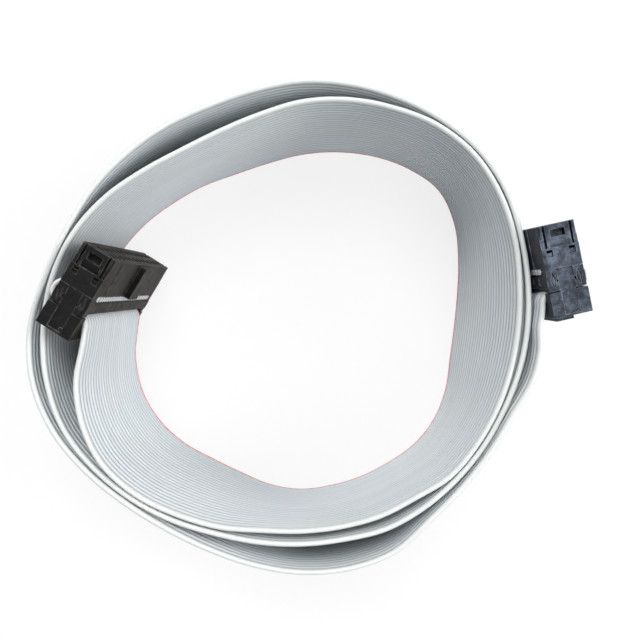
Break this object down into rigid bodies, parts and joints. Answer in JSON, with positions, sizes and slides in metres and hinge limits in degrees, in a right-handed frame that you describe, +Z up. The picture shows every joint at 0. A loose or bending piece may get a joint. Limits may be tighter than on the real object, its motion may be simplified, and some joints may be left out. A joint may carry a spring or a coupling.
{
  "type": "ribbon cable",
  "caption": "Flat ribbon cable coiled on its edge, with a press-on socket and strain relief at each end.",
  "frame": {"origin": "centre of the coiled cable's footprint, on the surface that it stands on", "axes": "+Z up, along the coil's axis and across the ribbon's width; +X from the inner end's socket towards the outer end's socket; +Y completes the right-handed frame"},
  "size_m": [0.0907, 0.0814, 0.0386],
  "materials": {
    "ribbon_pvc": "light grey soft PVC, satin, with a red edge stripe",
    "housing_plastic": "black moulded plastic, satin",
    "contact_metal": "plated phosphor bronze"
  },
  "bodies": {
    "root": {"ribbon": "ribbon_pvc", "left_socket_body": "housing_plastic", "left_cover": "housing_plastic", "left_strain_relief": "housing_plastic", "right_socket_body": "housing_plastic", "right_cover": "housing_plastic", "right_strain_relief": "housing_plastic", "left_contact_1": "contact_metal", "left_contact_2": "contact_metal", "left_contact_3": "contact_metal", "left_contact_4": "contact_metal", "left_contact_5": "contact_metal", "left_contact_6": "contact_metal", "left_contact_7": "contact_metal", "left_contact_8": "contact_metal", "left_contact_9": "contact_metal", "left_contact_10": "contact_metal", "left_contact_11": "contact_metal", "left_contact_12": "contact_metal", "left_contact_13": "contact_metal", "left_contact_14": "contact_metal", "left_contact_15": "contact_metal", "left_contact_16": "contact_metal", "left_contact_17": "contact_metal", "left_contact_18": "contact_metal", "left_contact_19": "contact_metal", "left_contact_20": "contact_metal", "left_contact_21": "contact_metal", "left_contact_22": "contact_metal", "left_contact_23": "contact_metal", "left_contact_24": "contact_metal", "left_contact_25": "contact_metal", "left_contact_26": "contact_metal", "right_contact_1": "contact_metal", "right_contact_2": "contact_metal", "right_contact_3": "contact_metal", "right_contact_4": "contact_metal", "right_contact_5": "contact_metal", "right_contact_6": "contact_metal", "right_contact_7": "contact_metal", "right_contact_8": "contact_metal", "right_contact_9": "contact_metal", "right_contact_10": "contact_metal", "right_contact_11": "contact_metal", "right_contact_12": "contact_metal", "right_contact_13": "contact_metal", "right_contact_14": "contact_metal", "right_contact_15": "contact_metal", "right_contact_16": "contact_metal", "right_contact_17": "contact_metal", "right_contact_18": "contact_metal", "right_contact_19": "contact_metal", "right_contact_20": "contact_metal", "right_contact_21": "contact_metal", "right_contact_22": "contact_metal", "right_contact_23": "contact_metal", "right_contact_24": "contact_metal", "right_contact_25": "contact_metal", "right_contact_26": "contact_metal"}
  },
  "joints": []
}
